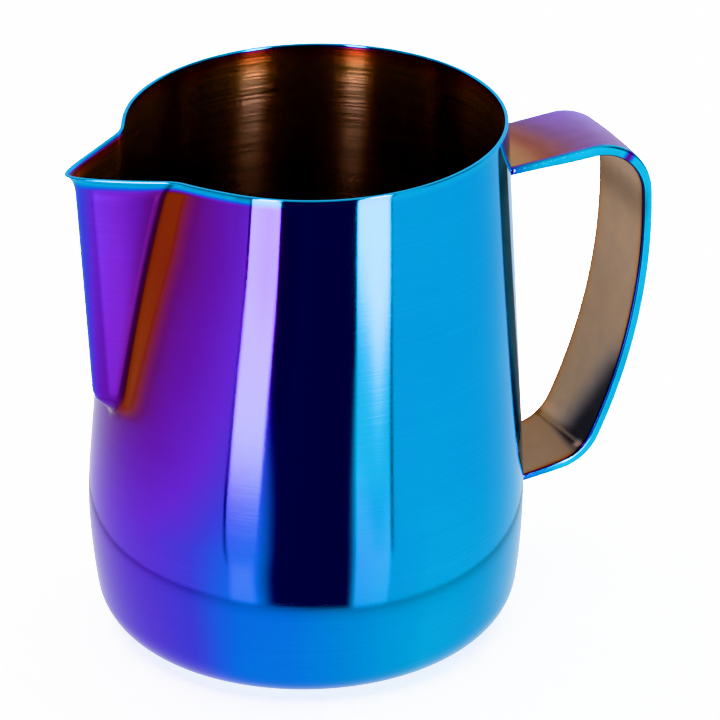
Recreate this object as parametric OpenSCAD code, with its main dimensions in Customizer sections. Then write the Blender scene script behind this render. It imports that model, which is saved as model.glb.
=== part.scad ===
// Milk frothing pitcher: a drawn stainless steel body with a pressed spout, and a bent strip handle
// welded on at two places. Millimetres, Z up. The origin is the centre of the base on the table,
// the spout points to -X and the handle to +X.

/* [Body] */
// Height from the table to the round part of the rim
body_height = 109.4; // [104:0.1:116]
// Widest diameter of the body, at the belly
belly_diameter = 89.2; // [86:0.2:92]
// Height of the widest point of the belly
belly_height = 30; // [26:0.5:34]
// Radius of the upright curve of the belly
belly_curve_radius = 152; // [120:1:180]
// Inward lean of the straight wall above the belly, in degrees
wall_lean = 2.1; // [1.5:0.1:3]
// Radius of the rounded corner between the wall and the base
base_corner_radius = 10.5; // [7:0.2:13]
// Thickness of the sheet steel
wall = 0.8; // [0.6:0.1:1.2]
// Distance that the rim circle sits towards the handle, because the spout draws the wall in
rim_shift = 3.1; // [1:0.1:4]

/* [Spout] */
// Distance from the axis to the spout ridge at its lower end
ridge_reach_low = 46.2; // [45.5:0.1:47.5]
// Distance from the axis to the spout ridge at the rim, before the lip flares
ridge_reach_high = 48.7; // [48:0.1:52]
// Height where the spout ridge ends and rounds back into the body
toe_height = 60; // [56:0.5:64]
// Half angle between the two flanks of the spout, in degrees
flank_angle = 33; // [30:0.5:37]
// Depth that the rounded nose takes off the sharp corner between the flanks
nose_rounding = 4.4; // [3:0.1:5.5]
// Softness of the valley between a flank and the round wall
valley_rounding = 1.4; // [0.6:0.1:2]
// Outward flare of the pouring lip
lip_flare = 1.9; // [0.5:0.1:3]
// Height over which the lip flares
lip_flare_height = 6; // [4:0.1:10]
// Drop of the rim at the tip of the lip
lip_dip = 1.4; // [0:0.1:3]

/* [Handle] */
// Width of the handle strip
strip_width = 20.5; // [16:0.1:22]
// Thickness of the strip along the grip
strip_thickness = 2.3; // [2:0.1:2.8]
// Thickness of the strip at its two welded ends
end_thickness = 1.6; // [1.5:0.1:2]
// Height of the strip's outer face where the top leg leaves the body
top_leg_height = 95.3; // [88:0.1:98]
// Upward slope of the top leg, in degrees
top_leg_slope = 3.7; // [0:0.1:6]
// Distance from the axis at which the top leg starts to bend
top_leg_reach = 60.4; // [56:0.1:66]
// Outer radius of the upper bend
upper_bend_radius = 12.9; // [10:0.1:16]
// Direction of the grip below the upper bend, in degrees below level
grip_start_angle = 88.1; // [84:0.1:90]
// Radius of the long curve of the grip
grip_radius = 111; // [95:0.2:125]
// Direction of the grip above the lower bend, in degrees below level
grip_end_angle = 116.8; // [112:0.1:119]
// Outer radius of the lower bend
lower_bend_radius = 11.1; // [9:0.1:13]
// Direction of the bottom leg as it runs back to the body, in degrees below level
bottom_leg_angle = 173.2; // [170:0.1:178]

/* [Hidden] */

steel_colour = [0.25, 0.45, 0.85];
strip_colour = [0.45, 0.35, 0.6];
weld_colour = [0.6, 0.6, 0.65];

// Body wall
belly_curve_x = belly_diameter / 2 - belly_curve_radius;
cone_start_radius = belly_curve_x + belly_curve_radius * cos(wall_lean);
cone_start_height = belly_height + belly_curve_radius * sin(wall_lean);
corner_x = belly_curve_x + sqrt(pow(belly_curve_radius - base_corner_radius, 2)
    - pow(belly_height - base_corner_radius, 2));
corner_sweep = 90 - asin((belly_height - base_corner_radius) / (belly_curve_radius - base_corner_radius));
corner_steps = 7;
wall_step_low = 6;
wall_step_high = 3.4;
lip_step = 1.1;
edge_rounding = 0.25;

// Above this height the wall changes from the belly circle to the shifted rim circle
shift_start = 25;
shift_power = 1.3;

// Below the toe the spout ridge falls back by toe_drop times the square of the drop in height
toe_drop = 0.14;

// The rim's drop at the lip fades out over this height and over this many degrees to each side
lip_dip_height = 25;
lip_dip_spread = 42;

// Keeps the flank's distance finite where it runs parallel to the direction
smallest_sine = 0.05;

// Directions of the section's points, closer together round the spout
fine_half_angle = 42;
fine_step = 3;
coarse_step = 6;
angles = [
    for (a = [-fine_half_angle:fine_step:fine_half_angle]) a,
    for (a = [fine_half_angle + coarse_step:coarse_step:360 - fine_half_angle - coarse_step]) a
];
angle_probe = 0.2;

// Handle strip: bow of its faces, rounding of its edges, length over which its thickness tapers
crown = 0.3;
edge_radius = 0.7;
end_fade = 18;
bend_step = 7.5;
grip_step = 3;
leg_steps = 4;
edge_steps = 3;
flat_steps = 4;

// Weld fillets under both ends of the strip
weld_leg = 0.9;
weld_inset = 1.5;
weld_stations = 24;

function last(list) = list[len(list) - 1];

// The larger of a and b, with a fillet where they are less than k apart
function filleted_max(a, b, k) = max(a, b) + pow(max(0, k - abs(a - b)), 2) / (4 * k);

// The smaller of a and b, with the corner between them rounded off by k / 2
function rounded_min(a, b, k) = (a + b - sqrt(pow(a - b, 2) + k * k)) / 2;

function clamp(x) = min(1, max(0, x));
function ease(x) = pow(clamp(x), 2) * (3 - 2 * clamp(x));

// Distance from the axis to the outer face on the handle side at height z
function wall_radius(z) =
    z >= cone_start_height
        ? cone_start_radius - (z - cone_start_height) * tan(wall_lean)
        : belly_curve_x + sqrt(pow(belly_curve_radius, 2) - pow(z - belly_height, 2));

function circle_shift(z) =
    rim_shift * pow(clamp((z - shift_start) / (body_height - shift_start)), shift_power);

// Distance from the axis to the point where the two flat flanks would meet
function spout_corner(z) =
    let (rise = (z - toe_height) / (body_height - toe_height),
        flare = clamp((z - body_height + lip_flare_height) / lip_flare_height))
    ridge_reach_low + (ridge_reach_high - ridge_reach_low) * rise
        - toe_drop * pow(max(0, toe_height - z), 2)
        + lip_flare * flare * flare
        + nose_rounding;

// Distance from the circle's centre to one flat flank in direction a, up to the flank's nearest point
function flank(a, z) =
    (spout_corner(z) + circle_shift(z)) * sin(flank_angle)
        / max(smallest_sine, sin(min(90, flank_angle + a)));

// Distance from the circle's centre to the outer face at height z, a degrees from the spout
function section_radius(a, z) =
    let (turn = a > 180 ? a - 360 : a,
        round_wall = wall_radius(z) - circle_shift(z),
        spout = rounded_min(flank(turn, z), flank(-turn, z), 2 * nose_rounding))
    filleted_max(round_wall, spout, valley_rounding);

function section_point(a, z) =
    [circle_shift(z) - section_radius(a, z) * cos(a), section_radius(a, z) * sin(a)];

function section_normal(a, z) =
    let (d = section_point(a + angle_probe, z) - section_point(a - angle_probe, z),
        n = [d.y, -d.x] / norm(d))
    n * section_point(a, z) > 0 ? n : -n;

// Height of the sheet at height z once the rim has been drawn down at the lip
function drawn_height(a, z) =
    let (turn = a > 180 ? a - 360 : a)
    z - lip_dip * pow(cos(90 * clamp(abs(turn) / lip_dip_spread)), 2)
        * pow(clamp((z - body_height + lip_dip_height) / lip_dip_height), 2);

function wall_ring(z, inset, drop = 0) =
    [for (a = angles)
        let (p = section_point(a, z) - inset * section_normal(a, z))
        [p.x, p.y, drawn_height(a, z) - drop]];

function round_ring(radius, z) = [for (a = angles) [-radius * cos(a), radius * sin(a), z]];

// Rounded corner from the flat base up to the start of the belly curve
function corner_rings(inset) =
    [for (i = [0:corner_steps])
        let (a = corner_sweep * i / corner_steps)
        round_ring(corner_x + (base_corner_radius - inset) * sin(a),
            base_corner_radius - (base_corner_radius - inset) * cos(a))];

corner_top = base_corner_radius - base_corner_radius * cos(corner_sweep);
function heights_above(z, step, top) = [for (h = [z + step:step:top]) h];
low_heights = heights_above(corner_top, wall_step_low, toe_height - 2 * wall_step_high);
high_heights = heights_above(last(low_heights), wall_step_high, body_height - lip_flare_height);
lip_heights = heights_above(last(high_heights), lip_step, body_height - lip_step);
wall_heights = concat(low_heights, high_heights, lip_heights);

function reversed(list) = [for (i = [len(list) - 1:-1:0]) list[i]];

body_rings = concat(
    corner_rings(0),
    [for (z = wall_heights) wall_ring(z, 0)],
    [wall_ring(body_height, 0, edge_rounding),
     wall_ring(body_height, edge_rounding),
     wall_ring(body_height, wall - edge_rounding),
     wall_ring(body_height, wall, edge_rounding)],
    [for (z = reversed(wall_heights)) wall_ring(z, wall)],
    reversed(corner_rings(wall))
);

// Cap faces for one ring of n points from index start: one flat polygon, or a ladder of quads between
// the first half of the ring and the second half, for a ring that lies on a curved wall
function flat_cap(start, n) = [[for (i = [0:n - 1]) start + i]];
function ladder_cap(start, n) =
    [for (i = [0:n / 2 - 2]) each [
        [start + i, start + i + 1, start + n - 1 - i],
        [start + i + 1, start + n - 2 - i, start + n - 1 - i]
    ]];

// A closed solid through rings of equal point count
module skin(rings, ladder = false) {
    n = len(rings[0]);
    last_start = (len(rings) - 1) * n;
    side_faces = [
        for (r = [0:len(rings) - 2], i = [0:n - 1])
            let (j = (i + 1) % n,
                a = r * n + i,
                b = r * n + j,
                c = (r + 1) * n + j,
                d = (r + 1) * n + i)
            each [[a, b, c], [a, c, d]]
    ];
    first_cap = [for (face = ladder ? ladder_cap(0, n) : flat_cap(0, n)) reversed(face)];
    last_cap = ladder ? ladder_cap(last_start, n) : flat_cap(last_start, n);
    polyhedron(points = [for (ring = rings) each ring], faces = concat(first_cap, side_faces, last_cap));
}

module pitcher_body() {
    color(steel_colour) skin(body_rings);
}

// Outer face of the handle as [x, z, heading]: straight top leg, upper bend, grip, lower bend
function heading(a) = [cos(a), -sin(a)];

function arc_path(start, from, to, radius, step) =
    let (count = ceil(abs(to - from) / step))
    [for (i = [1:count])
        let (a = from + (to - from) * i / count)
        [start.x + radius * (sin(a) - sin(from)), start.y + radius * (cos(a) - cos(from)), a]];

function line_path(start, a, length, count) =
    [for (i = [1:count]) let (p = [start.x, start.y] + heading(a) * length * i / count) [p.x, p.y, a]];

top_start = [wall_radius(top_leg_height), top_leg_height, -top_leg_slope];
top_length = (top_leg_reach - top_start.x) / cos(top_leg_slope);
top_leg = line_path(top_start, -top_leg_slope, top_length, leg_steps);
upper_bend = arc_path(last(top_leg), -top_leg_slope, grip_start_angle, upper_bend_radius, bend_step);
grip = arc_path(last(upper_bend), grip_start_angle, grip_end_angle, grip_radius, grip_step);
lower_bend = arc_path(last(grip), grip_end_angle, bottom_leg_angle, lower_bend_radius, bend_step);
bottom_start = last(lower_bend);
bottom_length = (bottom_start.x - wall_radius(bottom_start.y)) / -cos(bottom_leg_angle);
bottom_leg = line_path(bottom_start, bottom_leg_angle, bottom_length, leg_steps);
strip_path = concat([top_start], top_leg, upper_bend, grip, lower_bend, bottom_leg);
strip_lengths = [
    for (i = 0, s = 0; i < len(strip_path);
        i = i + 1,
        s = i < len(strip_path)
            ? s + norm([strip_path[i].x - strip_path[i - 1].x, strip_path[i].y - strip_path[i - 1].y])
            : s) s
];

// Depth that the rounded edge takes off a face of the strip at distance y from the middle
half_flat = strip_width / 2 - edge_radius;
function edge_depth(y) =
    let (edge = clamp((abs(y) - half_flat) / edge_radius))
    edge_radius * (1 - sqrt(1 - edge * edge));

// Depths of the strip's two faces below the middle of its outer face, at distance y from the middle
function crown_depth(y) = crown * pow(2 * y / strip_width, 2);
function outer_depth(y) = crown_depth(y) + edge_depth(y);
function inner_depth(y, thickness) = crown_depth(y) + thickness - edge_depth(y);

section_widths = concat(
    [for (i = [0:edge_steps]) -half_flat - edge_radius * cos(90 * i / edge_steps)],
    [for (i = [1 - flat_steps:flat_steps - 1]) half_flat * i / flat_steps],
    [for (i = [edge_steps:-1:0]) half_flat + edge_radius * cos(90 * i / edge_steps)]
);

// Thickness at distance s along the strip: it tapers to the welded ends
function thickness_at(s) =
    end_thickness + (strip_thickness - end_thickness)
        * ease(s / end_fade) * ease((last(strip_lengths) - s) / end_fade);

function strip_section(thickness) = concat(
    [for (y = section_widths) [y, outer_depth(y)]],
    [for (y = reversed(section_widths)) [y, inner_depth(y, thickness)]]
);

// A point of the strip: y across, depth below the outer face, at path point p
function strip_point(p, y, depth) =
    [p.x - depth * sin(p.z), y, p.y - depth * cos(p.z)];

// The same point slid along a leg until it meets the round body wall
function on_body(p, y, depth) =
    let (z = strip_point(p, y, depth).z,
        x = circle_shift(z) + sqrt(pow(wall_radius(z) - circle_shift(z), 2) - y * y))
    [x, y, z];

function strip_ring(i) =
    [for (q = strip_section(thickness_at(strip_lengths[i])))
        i == 0 || i == len(strip_path) - 1
            ? on_body(strip_path[i], q.x, q.y)
            : strip_point(strip_path[i], q.x, q.y)];

module handle() {
    color(strip_colour) skin([for (i = [0:len(strip_path) - 1]) strip_ring(i)], ladder = true);
}

// A fillet of weld metal across the underside of one end of the strip
module weld_fillet(end, depth, out) {
    half = strip_width / 2 - weld_inset;
    rings = [
        for (i = [0:weld_stations])
            let (y = half * (2 * i / weld_stations - 1),
                corner = on_body(end, y, depth(y)),
                foot_z = corner.z - weld_leg,
                foot = [on_body([0, foot_z, 0], y, 0).x, y, foot_z],
                toe = corner + weld_leg * [out.x, 0, out.y])
            [corner, foot, toe]
    ];
    color(weld_colour) skin(rings);
}

module upper_weld() {
    weld_fillet(top_start, function (y) inner_depth(y, end_thickness), heading(-top_leg_slope));
}

module lower_weld() {
    weld_fillet(last(strip_path), function (y) outer_depth(y), -heading(bottom_leg_angle));
}

pitcher_body();
handle();
upper_weld();
lower_weld();
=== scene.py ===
"""Milk frothing pitcher in rainbow-coated stainless steel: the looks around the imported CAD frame."""

import math

import bpy
import numpy as np
from mathutils import Matrix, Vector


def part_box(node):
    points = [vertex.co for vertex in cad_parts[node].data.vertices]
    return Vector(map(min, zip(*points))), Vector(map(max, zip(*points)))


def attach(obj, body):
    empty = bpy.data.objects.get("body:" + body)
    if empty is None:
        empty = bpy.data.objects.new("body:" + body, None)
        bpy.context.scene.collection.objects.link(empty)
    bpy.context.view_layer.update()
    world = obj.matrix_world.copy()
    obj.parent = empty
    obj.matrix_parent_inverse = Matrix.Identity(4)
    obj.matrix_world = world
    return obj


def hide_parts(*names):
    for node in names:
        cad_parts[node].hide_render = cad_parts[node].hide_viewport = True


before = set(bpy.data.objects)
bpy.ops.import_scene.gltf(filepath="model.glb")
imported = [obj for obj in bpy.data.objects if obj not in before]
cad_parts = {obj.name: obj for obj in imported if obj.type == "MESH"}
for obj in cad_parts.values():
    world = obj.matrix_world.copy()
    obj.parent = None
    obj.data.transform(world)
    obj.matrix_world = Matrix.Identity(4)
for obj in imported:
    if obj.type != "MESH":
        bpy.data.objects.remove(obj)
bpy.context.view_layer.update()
MM = 0.001

# ---------------------------------------------------------------- driving sizes, as in the CAD, mm
BODY_HEIGHT = 109.4
BELLY_DIAMETER = 89.2
BELLY_HEIGHT = 30.0
BELLY_CURVE_RADIUS = 152.0
WALL_LEAN = math.radians(2.1)
BASE_CORNER_RADIUS = 10.5
WALL = 0.8
RIM_SHIFT = 3.1
RIDGE_REACH_LOW = 46.2
RIDGE_REACH_HIGH = 48.7
TOE_HEIGHT = 60.0
FLANK_ANGLE = math.radians(33)
NOSE_ROUNDING = 4.4
VALLEY_ROUNDING = 1.4
LIP_FLARE = 1.9
LIP_FLARE_HEIGHT = 6.0
LIP_DIP = 1.4
STRIP_WIDTH = 20.5
STRIP_THICKNESS = 2.3
END_THICKNESS = 1.6
TOP_LEG_HEIGHT = 95.3
TOP_LEG_SLOPE = math.radians(3.7)
TOP_LEG_REACH = 60.4
UPPER_BEND_RADIUS = 12.9
GRIP_START = math.radians(88.1)
GRIP_RADIUS = 111.0
GRIP_END = math.radians(116.8)
LOWER_BEND_RADIUS = 11.1
BOTTOM_LEG = math.radians(173.2)

SHIFT_START = 25.0
SHIFT_POWER = 1.3
TOE_DROP = 0.14
LIP_DIP_HEIGHT = 25.0
LIP_DIP_SPREAD = math.radians(42)
SMALLEST_SINE = 0.05
CROWN = 0.3
EDGE_RADIUS = 0.7
END_FADE = 18.0
EDGE_ROUNDING = 0.25
WELD_LEG = 0.9
WELD_INSET = 1.5

# ---------------------------------------------------------------- shape of the body wall
BELLY_CURVE_X = BELLY_DIAMETER / 2 - BELLY_CURVE_RADIUS
CONE_START_RADIUS = BELLY_CURVE_X + BELLY_CURVE_RADIUS * math.cos(WALL_LEAN)
CONE_START_HEIGHT = BELLY_HEIGHT + BELLY_CURVE_RADIUS * math.sin(WALL_LEAN)
CORNER_RISE = BELLY_HEIGHT - BASE_CORNER_RADIUS
CORNER_REACH = BELLY_CURVE_RADIUS - BASE_CORNER_RADIUS
CORNER_X = BELLY_CURVE_X + math.sqrt(CORNER_REACH ** 2 - CORNER_RISE ** 2)
CORNER_SWEEP = math.pi / 2 - math.asin(CORNER_RISE / CORNER_REACH)
CORNER_TOP = BASE_CORNER_RADIUS * (1 - math.cos(CORNER_SWEEP))
NORMAL_PROBE = 0.001
CREASE_SEARCH = np.radians(np.linspace(0, 40, 401))


def clamp(x):
    return np.clip(x, 0.0, 1.0)


def ease(x):
    """A smooth step from 0 at x = 0 to 1 at x = 1."""
    t = clamp(x)
    return t * t * (3 - 2 * t)


def hump(x, width):
    """A smooth hump, 1 at x = 0 and nearly gone at twice the width."""
    return np.exp(-(x / width) ** 2)


def along(table, x):
    """The value at x of a table of (place, value) pairs, with straight lines between them."""
    return np.interp(x, [place for place, _ in table], [value for _, value in table])


def filleted_max(a, b, k):
    """The larger of a and b, with a fillet where they are less than k apart."""
    return np.maximum(a, b) + np.maximum(0, k - np.abs(a - b)) ** 2 / (4 * k)


def rounded_min(a, b, k):
    """The smaller of a and b, with the corner between them rounded off by k / 2."""
    return (a + b - np.sqrt((a - b) ** 2 + k * k)) / 2


def wall_radius(z):
    """Distance from the axis to the outer face on the handle side at height z."""
    z = np.asarray(z, float)
    cone = CONE_START_RADIUS - (z - CONE_START_HEIGHT) * math.tan(WALL_LEAN)
    belly = BELLY_CURVE_X + np.sqrt(BELLY_CURVE_RADIUS ** 2 - (z - BELLY_HEIGHT) ** 2)
    return np.where(z >= CONE_START_HEIGHT, cone, belly)


def circle_shift(z):
    """Distance that the wall's circle sits towards the handle at height z."""
    return RIM_SHIFT * clamp((z - SHIFT_START) / (BODY_HEIGHT - SHIFT_START)) ** SHIFT_POWER


def spout_corner(z):
    """Distance from the axis to the point where the two flat flanks would meet."""
    rise = (z - TOE_HEIGHT) / (BODY_HEIGHT - TOE_HEIGHT)
    flare = clamp((z - BODY_HEIGHT + LIP_FLARE_HEIGHT) / LIP_FLARE_HEIGHT)
    ridge = RIDGE_REACH_LOW + (RIDGE_REACH_HIGH - RIDGE_REACH_LOW) * rise
    toe = TOE_DROP * np.maximum(0, TOE_HEIGHT - z) ** 2
    return ridge - toe + LIP_FLARE * flare ** 3 + NOSE_ROUNDING


def flank(a, z):
    """Distance from the circle's centre to one flat flank in direction a."""
    reach = (spout_corner(z) + circle_shift(z)) * math.sin(FLANK_ANGLE)
    return reach / np.maximum(SMALLEST_SINE, np.sin(np.minimum(math.pi / 2, FLANK_ANGLE + a)))


def round_and_spout(a, z):
    """Distances from the circle's centre to the round wall and to the spout, in direction a."""
    spout = rounded_min(flank(a, z), flank(-a, z), 2 * NOSE_ROUNDING)
    return wall_radius(z) - circle_shift(z) + 0 * a, spout


def outer_point(a, z):
    """The outer face in directions a from the spout, at height z."""
    turn = (a + math.pi) % (2 * math.pi) - math.pi
    r = filleted_max(*round_and_spout(turn, z), VALLEY_ROUNDING)
    return circle_shift(z) - r * np.cos(a), r * np.sin(a)


def section_points(a, z, inset):
    """Points of the wall at height z in directions a from the spout, moved inwards by inset."""
    x, y = outer_point(a, z)
    if inset == 0:
        return x, y
    x1, y1 = outer_point(a + NORMAL_PROBE, z)
    x0, y0 = outer_point(a - NORMAL_PROBE, z)
    nx, ny = y1 - y0, x0 - x1
    length = np.hypot(nx, ny) * np.where(nx * x + ny * y > 0, 1, -1)
    return x - inset * nx / length, y - inset * ny / length


def drawn_height(a, z):
    """Height of the sheet once the rim has been drawn down at the lip."""
    turn = np.abs((a + math.pi) % (2 * math.pi) - math.pi)
    across = np.cos(math.pi / 2 * clamp(turn / LIP_DIP_SPREAD)) ** 2
    return z - LIP_DIP * across * clamp((z - BODY_HEIGHT + LIP_DIP_HEIGHT) / LIP_DIP_HEIGHT) ** 2


def crease_angle(z):
    """Direction of the valley between the spout's flank and the round wall, 0 where the spout has ended."""
    round_wall, spout = round_and_spout(CREASE_SEARCH, z)
    over = spout - round_wall
    past = np.nonzero(over < 0)[0]
    if not len(past):
        return CREASE_SEARCH[-1]
    i = past[0]
    return CREASE_SEARCH[i] - (CREASE_SEARCH[1] * over[i] / (over[i] - over[i - 1]) if i else 0.0)


# ---------------------------------------------------------------- mesh helpers
COAT = ("film", "matt", "painted_shading", "grey")


class Rings:
    """Rings of points in mm, with the coat's values at each point.

    film is the coat's thickness from 0 to 1, matt its matt share, painted_shading the brightness that is
    painted in for light and shade, and grey the share of bare grey steel that shows through.
    """

    def __init__(self):
        self.points = []
        self.coat = {key: [] for key in COAT}

    def add(self, x, y, z, film, matt=0.0, painted_shading=1.0, grey=0.0):
        ring = np.stack(np.broadcast_arrays(x, y, z), 1)
        self.points.append(ring)
        for key, value in zip(COAT, (film, matt, painted_shading, grey)):
            self.coat[key].append(value + np.zeros(len(ring)))

    def make_piece(self, name, faces, materials, face_slots=None):
        coat = {key: np.concatenate(values) for key, values in self.coat.items()}
        return make_piece(name, np.concatenate(self.points), faces, coat, materials, face_slots)


def strip_faces(rings, n, closed=True):
    """Quads between consecutive rings of n points, as vertex indices."""
    around = n if closed else n - 1
    return [
        (r * n + i, r * n + (i + 1) % n, (r + 1) * n + (i + 1) % n, (r + 1) * n + i)
        for r in range(rings - 1)
        for i in range(around)
    ]


def turned_over(faces):
    return [face[::-1] for face in faces]


def make_piece(name, points, faces, coat, materials, face_slots=None):
    """A smooth-shaded mesh object from points in mm."""
    mesh = bpy.data.meshes.new(name)
    mesh.from_pydata((np.asarray(points) * MM).tolist(), [], faces)
    for key, values in coat.items():
        layer = mesh.attributes.new(key, "FLOAT", "POINT")
        layer.data.foreach_set("value", np.asarray(values, np.float32))
    for material in materials:
        mesh.materials.append(material)
    if face_slots is not None:
        mesh.polygons.foreach_set("material_index", face_slots)
    mesh.polygons.foreach_set("use_smooth", [True] * len(mesh.polygons))
    mesh.validate()
    mesh.update()
    piece = bpy.data.objects.new(name, mesh)
    bpy.context.scene.collection.objects.link(piece)
    return piece


# ---------------------------------------------------------------- node helpers
class Graph:
    """A small wrapper that adds nodes and links them by input name."""

    # Sockets of the mix node for colours: factor, first colour and second colour, then the result
    MIX_INPUTS = (0, 6, 7)
    MIX_RESULT = 2

    def __init__(self, tree):
        self.tree = tree
        tree.nodes.clear()

    def connect(self, node, inputs):
        """Set each input to a value, or link it to the socket given for it."""
        for key, value in inputs.items():
            if isinstance(value, bpy.types.NodeSocket):
                self.tree.links.new(value, node.inputs[key])
            else:
                node.inputs[key].default_value = value
        return node

    def add(self, kind, settings=None, inputs=None):
        node = self.tree.nodes.new(kind)
        for key, value in (settings or {}).items():
            setattr(node, key, value)
        return self.connect(node, inputs or {})

    def math(self, operation, a, b=0.0, c=0.0):
        return self.add("ShaderNodeMath", {"operation": operation}, {0: a, 1: b, 2: c}).outputs[0]

    def vary(self, value, noise, amount):
        """The value moved up and down by noise, which is 0.5 on average."""
        return self.math("MULTIPLY_ADD", self.math("SUBTRACT", noise, 0.5), amount, value)

    def remap(self, value, low, high, to_low, to_high):
        inputs = {0: value, 1: low, 2: high, 3: to_low, 4: to_high}
        return self.add("ShaderNodeMapRange", {"clamp": True}, inputs).outputs[0]

    def attribute(self, name):
        return self.add("ShaderNodeAttribute", {"attribute_name": name}).outputs["Fac"]

    def place(self, kind):
        return self.add("ShaderNodeTexCoord").outputs[kind]

    def noise(self, coordinates, size, detail=3.0, stretch=(1, 1, 1)):
        """Noise whose features are about size metres across, divided by stretch on each axis."""
        scaled = self.add("ShaderNodeVectorMath", {"operation": "MULTIPLY"}, {0: coordinates, 1: stretch})
        inputs = {"Vector": scaled.outputs[0], "Scale": 1 / size, "Detail": detail}
        return self.add("ShaderNodeTexNoise", None, inputs).outputs["Fac"]

    def ramp(self, value, stops):
        node = self.add("ShaderNodeValToRGB", None, {"Fac": value})
        elements = node.color_ramp.elements
        while len(elements) < len(stops):
            elements.new(0.5)
        for element, (place, colour) in zip(elements, stops):
            element.position = place
            element.color = (*colour, 1)
        return node.outputs["Color"]

    def mix(self, factor, a, b, blend="MIX"):
        node = self.add("ShaderNodeMix", {"data_type": "RGBA", "blend_type": blend})
        return self.connect(node, dict(zip(self.MIX_INPUTS, (factor, a, b)))).outputs[self.MIX_RESULT]

    def finish(self, kind, shader):
        """Link the shader to the tree's output node."""
        self.tree.links.new(shader.outputs[0], self.add(kind).inputs["Surface"])


def new_material(name):
    material = bpy.data.materials.new(name)
    material.use_nodes = True
    return material, Graph(material.node_tree)


# ---------------------------------------------------------------- coated steel
# Brightness of the studio's white, and what the view transform takes off all but the darkest colours
STUDIO_WHITE = 0.9
TONE_TOE = 0.04


def linear(c):
    """Linear light of an 8-bit colour channel."""
    return c / 255 / 12.92 if c <= 10 else ((c / 255 + 0.055) / 1.055) ** 2.4


def reflectance(r, g, b):
    """The metal colour that shows as this 8-bit colour where the metal reflects the studio's white."""
    light = [linear(c) for c in (r, g, b)]
    lowest = min(light)
    raised = 2 * math.sqrt(lowest * TONE_TOE) if lowest < TONE_TOE else lowest + TONE_TOE
    return tuple(min(1.0, (c + raised - lowest) / STUDIO_WHITE) for c in light)


# Colour of the titanium coat against its thickness, thin to thick
COAT_COLOURS = [
    (0.00, reflectance(168, 134, 102)),
    (0.06, reflectance(176, 122, 60)),
    (0.13, reflectance(150, 66, 6)),
    (0.17, reflectance(130, 38, 4)),
    (0.22, reflectance(124, 26, 48)),
    (0.32, reflectance(98, 12, 118)),
    (0.43, reflectance(98, 20, 172)),
    (0.53, reflectance(100, 36, 208)),
    (0.62, reflectance(62, 58, 218)),
    (0.70, reflectance(24, 92, 232)),
    (0.78, reflectance(0, 114, 232)),
    (0.87, reflectance(0, 140, 222)),
    (0.94, reflectance(0, 160, 224)),
    (1.00, reflectance(8, 190, 238)),
]

# The coat's patterns: their sizes in metres, their detail, and the part of the noise that shows
CLOUD_SIZE = 0.03
CLOUD_FILM = 0.05
LINE_SIZE = 0.012
LINE_DETAIL = 4.0
LINE_RANGE = (0.36, 0.64)
LINE_TURN = 0.25
SMUDGE_SIZE = 0.022
SMUDGE_DETAIL = 5.0
SMUDGE_RANGE = (0.35, 0.75)
SPECK_SIZE = 0.0006
SPECK_DETAIL = 2.0


def coated_steel(name, roughness, anisotropy, stretch, film, shade, smudge, speck, line, depth, bare_grey):
    """Steel under a coat that follows the mesh attributes of Rings.

    roughness is that of the polished and of the matt coat, and stretch gives the direction of the
    brushed lines. The lines change the coat's thickness by film, its brightness by shade and its
    relief by line, and specks in the matt coat add to the relief, whose depth is in mm.
    """
    material, g = new_material(name)
    where = g.place("Object")
    thickness = g.attribute("film")
    matt = g.attribute("matt")
    painted_shading = g.attribute("painted_shading")
    grey = g.attribute("grey")

    lines = g.noise(where, LINE_SIZE, LINE_DETAIL, stretch)
    thickness = g.vary(thickness, g.noise(where, CLOUD_SIZE), CLOUD_FILM)
    thickness = g.vary(thickness, lines, film)
    colour = g.mix(grey, g.ramp(thickness, COAT_COLOURS), (*bare_grey, 1))
    # The painted light and shade of the attribute painted_shading darkens or brightens the coat's colour here
    tone = g.math("MULTIPLY", g.remap(lines, *LINE_RANGE, 1 - shade, 1 + shade), painted_shading)
    tone = g.add("ShaderNodeCombineColor", None, {0: tone, 1: tone, 2: tone}).outputs[0]
    colour = g.mix(1.0, colour, tone, "MULTIPLY")

    smudges = g.remap(g.noise(where, SMUDGE_SIZE, SMUDGE_DETAIL), *SMUDGE_RANGE, 0.0, smudge)
    rough = g.math("MULTIPLY_ADD", matt, roughness[1] - roughness[0], roughness[0])
    rough = g.math("ADD", rough, smudges)

    specks = g.math("MULTIPLY", g.noise(where, SPECK_SIZE, SPECK_DETAIL), matt)
    relief = g.math("MULTIPLY_ADD", lines, line, g.math("MULTIPLY", specks, speck))
    bump = g.add("ShaderNodeBump", None, {"Strength": 1.0, "Distance": depth * MM, "Height": relief})

    shader = g.add("ShaderNodeBsdfPrincipled", None, {
        "Base Color": colour, "Metallic": 1.0, "Roughness": rough, "Normal": bump.outputs[0],
        "Anisotropic": anisotropy, "Anisotropic Rotation": LINE_TURN,
    })
    if anisotropy:
        tangent = g.add("ShaderNodeTangent", {"direction_type": "RADIAL", "axis": "Z"})
        g.connect(shader, {"Tangent": tangent.outputs[0]})
    g.finish("ShaderNodeOutputMaterial", shader)
    return material


polished = coated_steel(
    "polished_steel", roughness=(0.045, 0.3), anisotropy=0.35, stretch=(0.4, 0.4, 120),
    film=0.012, shade=0.03, smudge=0.02, speck=0.0, line=1.0, depth=0.003,
    bare_grey=reflectance(150, 140, 140))
brushed = coated_steel(
    "brushed_steel", roughness=(0.10, 0.22), anisotropy=1.0, stretch=(0.7, 0.7, 40),
    film=0.04, shade=0.5, smudge=0.03, speck=0.0, line=1.0, depth=0.02,
    bare_grey=reflectance(150, 112, 112))
satin = coated_steel(
    "satin_steel", roughness=(0.09, 0.40), anisotropy=0.0, stretch=(3, 3, 3),
    film=0.02, shade=0.04, smudge=0.03, speck=1.0, line=0.06, depth=0.03,
    bare_grey=reflectance(158, 142, 144))

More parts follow.
